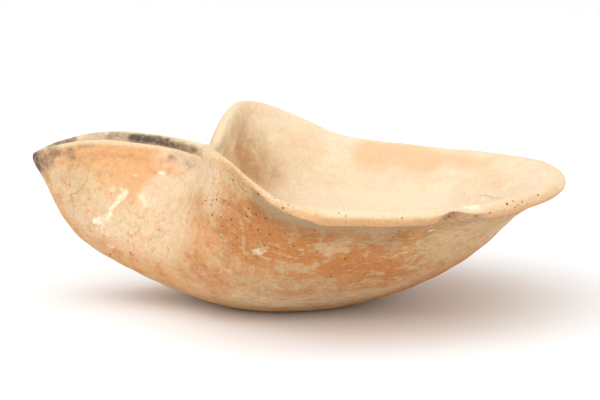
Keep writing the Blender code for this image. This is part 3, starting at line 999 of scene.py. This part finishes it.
def pits_and_cracks(recipe, ground, largest):
    """Small round pits where straw and grit burnt out or fell out, the largest pits, and the hair cracks."""
    inputs = {"Vector": ground.spot, "Scale": 1 / PIT_SPACING}
    middle = recipe.add("ShaderNodeTexVoronoi", {}, inputs, "Distance")
    luck = recipe.add("ShaderNodeSeparateColor", {}, {0: middle.beside("Color")}, "Red")
    chance = luck + recipe.attribute("pitted") * 0.5 + ground.blotch * 0.3 - ground.inside * 0.25
    radius = recipe.ease(0.86, 1.6, chance) * 0.46
    holes = recipe.ease(0.0, 0.14, radius - middle + ground.grain * 0.07)
    for spot, size in largest:
        gap = recipe.vectors("DISTANCE", ground.spot, spot, "Value") + ground.fleck * 0.12
        holes = recipe.sum_of("MAXIMUM", holes, recipe.ease(size, size * 0.55, gap))
    crack = recipe.attribute("crack") + ground.fleck * 0.3 + ground.blotch * 0.4
    crack = recipe.ease(0.24, 0.04, recipe.sum_of("ABSOLUTE", crack, 0.0))
    return recipe.sum_of("MAXIMUM", holes, crack * (0.4 + ground.mottle * 0.6) * 0.75)


def grain_of_clay(recipe, ground, skin):
    """Pinker and yellower clouds over all the colours, and the dark grain of the clay."""
    tint = recipe.blend(recipe.ease(-0.8, 0.8, ground.blush), PINK_TINT, YELLOW_TINT)
    skin = recipe.blend(0.8, skin, tint, "MULTIPLY")
    speckle = recipe.blend(recipe.ease(-0.9, 0.6, ground.grain), DARK_GRAIN, NO_TINT)
    outside = 1 - ground.inside
    grainy = 0.35 + outside * 0.15 + outside * ground.wiped * 0.25
    return recipe.blend(grainy, skin, speckle, "MULTIPLY")


def fired_clay(colours, largest_pits):
    """The clay's material, layer on layer from the kiln's colours to the soot of the wick."""
    recipe = Recipe("fired_clay")
    ground = ground_readings(recipe)
    outside = outer_wall(recipe, ground, colours)
    skin = recipe.blend(ground.inside, outside, inner_wall(recipe, ground, colours))
    skin = worn_lip(recipe, ground, colours, skin)
    chalk = chalky_crust(recipe, ground)
    skin = recipe.blend(chalk * 0.9, skin, colours.chalk)
    smoke, black = wick_soot(recipe, ground)
    skin = recipe.blend(smoke * 0.6, skin, colours.smoke)
    skin = recipe.blend(black * 0.85, skin, colours.soot)
    holes = pits_and_cracks(recipe, ground, largest_pits)
    skin = recipe.blend(holes * 0.85, skin, colours.pit)
    height = ground.grain * 0.05 + ground.fine_streaks * (1 - ground.inside) * 0.05 + ground.fleck * 0.06
    bump = {"Height": height - holes * 0.25 + chalk * 0.08, "Distance": MM, "Strength": 1.0}
    return recipe.finish({
        "Base Color": grain_of_clay(recipe, ground, skin),
        "Roughness": 0.92 - black * 0.15,
        "Specular IOR Level": 0.25,
        "Normal": recipe.add("ShaderNodeBump", {}, bump, "Normal"),
    })


class OBJECT_OT_oil_lamp_clay(Operator):
    """Make the lamp's clay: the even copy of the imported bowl, its relief, its marks and its material"""

    bl_idname = "object.oil_lamp_clay"
    bl_label = "Lamp clay"
    bl_options = {"REGISTER", "UNDO"}

    def execute(self, context):
        scene = context.scene
        piece, thrown = even_copy(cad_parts[CAD_NODE], scene.lamp_relief.mesh_step)
        clay = Clay(piece, thrown, scene.lamp_studio)
        # The marks are laid on the smooth clay, and the largest pits on the carved one that the camera sees
        keep_marks(clay)
        carve(clay, scene.lamp_relief)
        largest_pits = [
            (tuple(clay.at_spot(spot) / MM), radius) for radius, spots in PITS.items() for spot in spots
        ]
        piece.data.vertices.foreach_set("co", clay.points.ravel())
        piece.data.update()
        piece.data.materials.clear()
        piece.data.materials.append(fired_clay(scene.lamp_colours, largest_pits))
        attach(piece, "root")
        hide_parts(CAD_NODE)
        return {"FINISHED"}


class OBJECT_OT_oil_lamp_stage(Operator):
    """Set the pale floor, the soft lights and the camera"""

    bl_idname = "object.oil_lamp_stage"
    bl_label = "Stage, lights and camera"
    bl_options = {"REGISTER", "UNDO"}

    def execute(self, context):
        scene = context.scene
        deselect_all()
        bpy.ops.mesh.primitive_circle_add(vertices=96, radius=FLOOR_RADIUS, fill_type="NGON")
        floor = context.object
        floor.name = "floor"
        paper = Recipe("floor_paper").finish({"Base Color": FLOOR_COLOUR, "Roughness": 0.9})
        floor.data.materials.append(paper)
        for light in LIGHTS:
            hang_light(light)
        world = bpy.data.worlds.new("studio_air")
        world.use_nodes = True
        air = world.node_tree.nodes["Background"]
        air.inputs["Color"].default_value = AIR_COLOUR
        air.inputs["Strength"].default_value = AIR_STRENGTH
        scene.world = world
        stand, forward = camera_axes(scene.lamp_studio)[:2]
        bpy.ops.object.camera_add(location=stand, rotation=facing(forward))
        camera = context.object
        camera.name = "camera"
        camera.data.lens = LENS
        camera.data.sensor_width = SENSOR
        camera.data.clip_start = CLIP_START
        scene.camera = camera
        scene.view_settings.view_transform = "Standard"
        return {"FINISHED"}


def facing(direction):
    """The turn of a light or a camera that looks in a direction."""
    return direction.to_track_quat("-Z", "Y").to_euler()


def hang_light(light):
    """Hangs a square soft light that faces the lamp."""
    turn = facing(Vector(LIGHTS_AIM) - Vector(light.place))
    bpy.ops.object.light_add(type="AREA", location=light.place, rotation=turn)
    lit = bpy.context.object
    lit.name = light.name
    lit.data.name = light.name
    lit.data.size = light.side
    lit.data.energy = light.watts


class VIEW3D_PT_oil_lamp(Panel):
    """The lamp's tools in the sidebar"""

    bl_label = "Oil lamp"
    bl_idname = "VIEW3D_PT_oil_lamp"
    bl_space_type = "VIEW_3D"
    bl_region_type = "UI"
    bl_category = "Oil lamp"

    def draw(self, context):
        for operator in OPERATORS:
            self.layout.operator(operator.bl_idname)


OPERATORS = (OBJECT_OT_oil_lamp_stage, OBJECT_OT_oil_lamp_clay)
CLASSES = (LampRelief, ClayColours, Studio, *OPERATORS, VIEW3D_PT_oil_lamp)


def register():
    for cls in CLASSES:
        bpy.utils.register_class(cls)
    bpy.types.Scene.lamp_relief = PointerProperty(type=LampRelief)
    bpy.types.Scene.lamp_colours = PointerProperty(type=ClayColours)
    bpy.types.Scene.lamp_studio = PointerProperty(type=Studio)


def unregister():
    del bpy.types.Scene.lamp_studio
    del bpy.types.Scene.lamp_colours
    del bpy.types.Scene.lamp_relief
    for cls in reversed(CLASSES):
        bpy.utils.unregister_class(cls)


def main():
    register()
    bpy.ops.object.oil_lamp_stage()
    bpy.ops.object.oil_lamp_clay()


if __name__ == "__main__":
    main()
